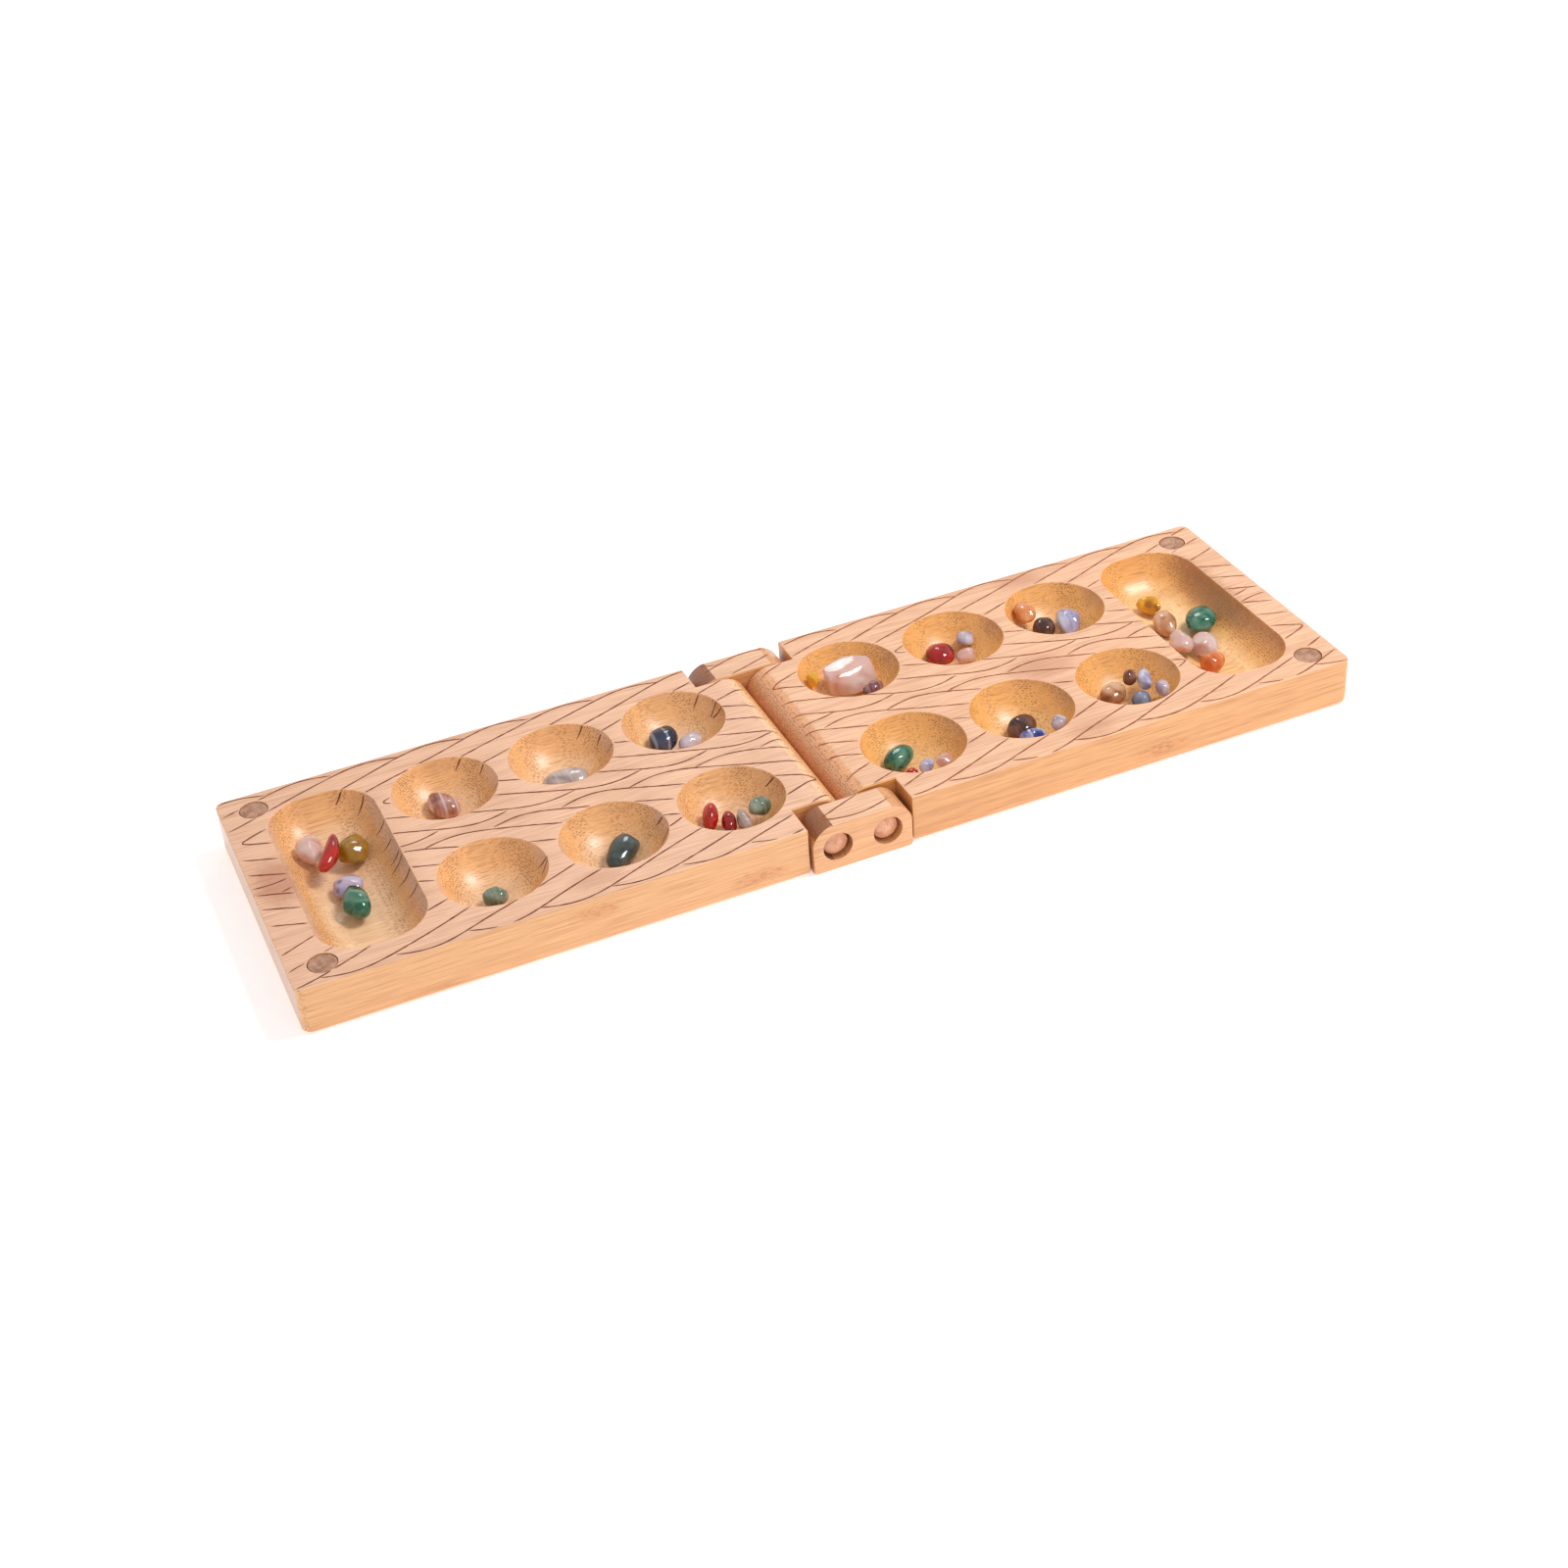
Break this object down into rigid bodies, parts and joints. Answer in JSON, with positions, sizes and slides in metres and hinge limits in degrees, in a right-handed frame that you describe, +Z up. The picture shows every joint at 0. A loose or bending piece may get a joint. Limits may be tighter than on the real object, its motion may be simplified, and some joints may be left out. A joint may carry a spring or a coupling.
{
  "type": "folding mancala board",
  "caption": "Folding wooden board game with two rows of round pits, a long store at each end and polished stones; two halves joined by pegged link blocks.",
  "frame": {"origin": "middle of the underside of the open board", "axes": "+X along the board's length towards the right-hand store, +Y towards the back row of pits, +Z up"},
  "size_m": [0.445, 0.1315, 0.021],
  "materials": {
    "bamboo": "satin bamboo, pale pinkish top, golden in the hollows",
    "plug_wood": "bamboo end grain plug",
    "magnet": "nickel-plated disc magnet",
    "peg_wood": "polished hardwood peg",
    "link_bamboo": "satin bamboo",
    "rose_quartz": "polished tumbled gemstone",
    "honey_agate": "polished tumbled gemstone",
    "red_agate": "polished tumbled gemstone",
    "amethyst": "polished tumbled gemstone",
    "green_agate": "polished tumbled gemstone",
    "amber": "polished tumbled gemstone",
    "tan_jasper": "polished tumbled gemstone",
    "carnelian": "polished tumbled gemstone",
    "pink_jasper": "polished tumbled gemstone",
    "garnet": "polished tumbled gemstone",
    "moss_agate": "polished tumbled gemstone",
    "lavender": "polished tumbled gemstone",
    "grey_agate": "polished tumbled gemstone",
    "lilac_quartz": "polished tumbled gemstone",
    "dark_green": "polished tumbled gemstone",
    "brown_agate": "polished tumbled gemstone",
    "blue_sodalite": "polished tumbled gemstone",
    "black_agate": "polished tumbled gemstone",
    "slate_blue": "polished tumbled gemstone"
  },
  "bodies": {
    "left_half": {"left_board": "bamboo", "left_back_peg": "peg_wood", "left_back_plug": "plug_wood", "left_back_magnet": "magnet", "left_front_peg": "peg_wood", "left_front_plug": "plug_wood", "left_front_magnet": "magnet"},
    "link": {"front_link_block": "link_bamboo", "back_link_block": "link_bamboo"},
    "right_half": {"right_board": "bamboo", "right_back_peg": "peg_wood", "right_back_plug": "plug_wood", "right_back_magnet": "magnet", "right_front_peg": "peg_wood", "right_front_plug": "plug_wood", "right_front_magnet": "magnet"},
    "stones_left_store": {"left_store_rose": "rose_quartz", "left_store_honey": "honey_agate", "left_store_red_comma": "red_agate", "left_store_purple": "amethyst", "left_store_green_drop": "green_agate"},
    "stones_right_store": {"right_store_amber": "amber", "right_store_carnelian": "tan_jasper", "right_store_green": "green_agate", "right_store_rose_low": "rose_quartz", "right_store_rose": "rose_quartz", "right_store_orange": "carnelian"},
    "stones_left_back_1": {"left_back_1_pink_brown": "pink_jasper"},
    "stones_right_back_1": {"right_back_1_garnet": "garnet", "right_back_1_amber": "amber", "right_back_1_slab": "rose_quartz"},
    "stones_left_back_2": {"left_back_2_grey": "grey_agate"},
    "stones_right_back_2": {"right_back_2_brown_red": "red_agate", "right_back_2_pink": "rose_quartz", "right_back_2_clear": "lilac_quartz"},
    "stones_left_back_3": {"left_back_3_black": "black_agate", "left_back_3_lilac": "lilac_quartz"},
    "stones_right_back_3": {"right_back_3_brown": "brown_agate", "right_back_3_lavender": "lavender", "right_back_3_orange": "carnelian"},
    "stones_left_front_1": {"left_front_1_grey_green": "moss_agate"},
    "stones_right_front_1": {"right_front_1_green": "green_agate", "right_front_1_red_chip": "red_agate", "right_front_1_lavender": "lavender", "right_front_1_pink": "rose_quartz"},
    "stones_left_front_2": {"left_front_2_dark_green": "dark_green"},
    "stones_right_front_2": {"right_front_2_brown": "brown_agate", "right_front_2_blue": "blue_sodalite", "right_front_2_lavender": "lilac_quartz"},
    "stones_left_front_3": {"left_front_3_red": "red_agate", "left_front_3_red_thin": "red_agate", "left_front_3_grey": "grey_agate", "left_front_3_moss": "moss_agate"},
    "stones_right_front_3": {"right_front_3_tan": "tan_jasper", "right_front_3_brown": "brown_agate", "right_front_3_slate": "slate_blue", "right_front_3_lilac": "lilac_quartz", "right_front_3_white": "lavender"}
  },
  "joints": [
    {"name": "fold_left", "type": "hinge", "parent": "left_half", "child": "link", "pos_m": [-0.01065, 0, 0.0105], "axis": [0, 1, 0], "range_deg": [-90, 0]},
    {"name": "fold_right", "type": "hinge", "parent": "link", "child": "right_half", "pos_m": [0.01065, 0, 0.0105], "axis": [0, 1, 0], "range_deg": [-90, 0]},
    {"name": "lift_left_store", "type": "slide", "parent": "left_half", "child": "stones_left_store", "axis": [0, 0, 1], "range_m": [0, 0.04]},
    {"name": "lift_right_store", "type": "slide", "parent": "right_half", "child": "stones_right_store", "axis": [0, 0, 1], "range_m": [0, 0.04]},
    {"name": "lift_left_back_1", "type": "slide", "parent": "left_half", "child": "stones_left_back_1", "axis": [0, 0, 1], "range_m": [0, 0.04]},
    {"name": "lift_right_back_1", "type": "slide", "parent": "right_half", "child": "stones_right_back_1", "axis": [0, 0, 1], "range_m": [0, 0.04]},
    {"name": "lift_left_back_2", "type": "slide", "parent": "left_half", "child": "stones_left_back_2", "axis": [0, 0, 1], "range_m": [0, 0.04]},
    {"name": "lift_right_back_2", "type": "slide", "parent": "right_half", "child": "stones_right_back_2", "axis": [0, 0, 1], "range_m": [0, 0.04]},
    {"name": "lift_left_back_3", "type": "slide", "parent": "left_half", "child": "stones_left_back_3", "axis": [0, 0, 1], "range_m": [0, 0.04]},
    {"name": "lift_right_back_3", "type": "slide", "parent": "right_half", "child": "stones_right_back_3", "axis": [0, 0, 1], "range_m": [0, 0.04]},
    {"name": "lift_left_front_1", "type": "slide", "parent": "left_half", "child": "stones_left_front_1", "axis": [0, 0, 1], "range_m": [0, 0.04]},
    {"name": "lift_right_front_1", "type": "slide", "parent": "right_half", "child": "stones_right_front_1", "axis": [0, 0, 1], "range_m": [0, 0.04]},
    {"name": "lift_left_front_2", "type": "slide", "parent": "left_half", "child": "stones_left_front_2", "axis": [0, 0, 1], "range_m": [0, 0.04]},
    {"name": "lift_right_front_2", "type": "slide", "parent": "right_half", "child": "stones_right_front_2", "axis": [0, 0, 1], "range_m": [0, 0.04]},
    {"name": "lift_left_front_3", "type": "slide", "parent": "left_half", "child": "stones_left_front_3", "axis": [0, 0, 1], "range_m": [0, 0.04]},
    {"name": "lift_right_front_3", "type": "slide", "parent": "right_half", "child": "stones_right_front_3", "axis": [0, 0, 1], "range_m": [0, 0.04]}
  ]
}
